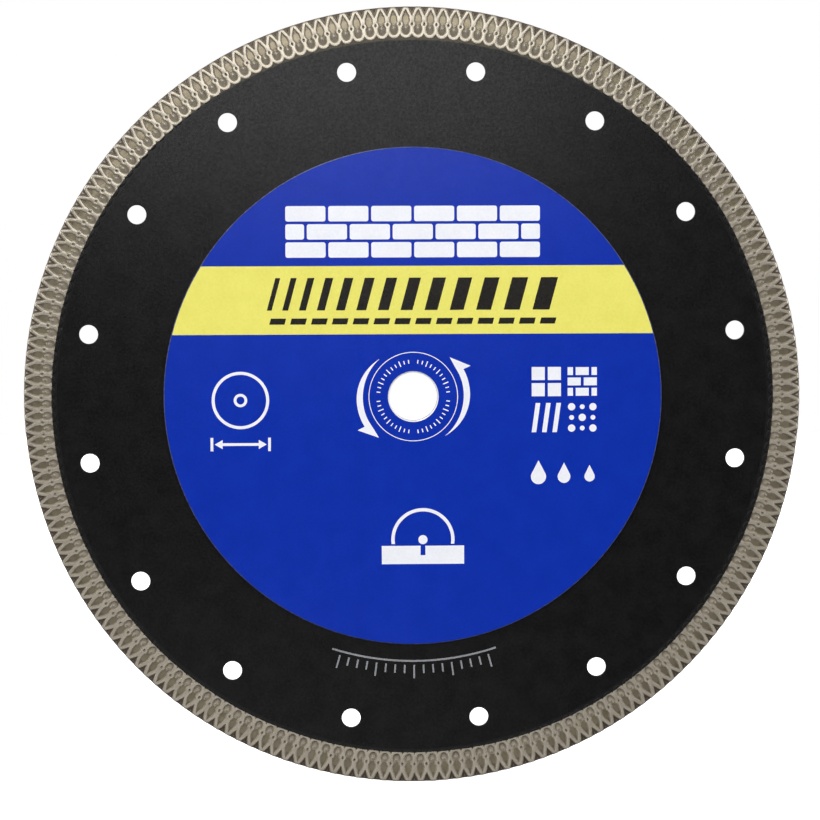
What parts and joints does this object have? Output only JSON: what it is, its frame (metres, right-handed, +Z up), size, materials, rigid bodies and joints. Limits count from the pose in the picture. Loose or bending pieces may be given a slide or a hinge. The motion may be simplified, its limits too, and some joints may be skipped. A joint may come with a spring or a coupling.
{
  "type": "diamond blade",
  "caption": "Round continuous-rim diamond blade with a mesh-patterned sintered rim, cooling holes, reinforced hub plates and a printed front, for wet cutting of tile and stone.",
  "frame": {"origin": "centre of the arbor bore, half-way through the steel core", "axes": "Y along the blade's axis with the printed front face towards -Y, +X to the right as seen from the front, +Z up with the print upright"},
  "size_m": [0.254, 0.0029, 0.254],
  "materials": {
    "core_paint": "satin black paint on tool steel",
    "rim_sinter": "rough sintered metal with diamond grit",
    "braze": "thin braze film",
    "plate_blue": "satin blue paint on steel plate",
    "ink_blue": "satin blue print, slightly grainy",
    "ink_yellow": "satin yellow print",
    "ink_white": "satin white print",
    "ink_dark": "satin near-black print",
    "ink_grey": "grey print on black paint"
  },
  "bodies": {
    "root": {"steel_core": "core_paint", "diamond_rim": "rim_sinter", "front_braze_film": "braze", "rear_braze_film": "braze", "front_hub_plate": "plate_blue", "rear_hub_plate": "core_paint", "blue_ground": "ink_blue", "yellow_band": "ink_yellow", "white_print": "ink_white", "dark_print": "ink_dark", "grey_print": "ink_grey"}
  },
  "joints": []
}
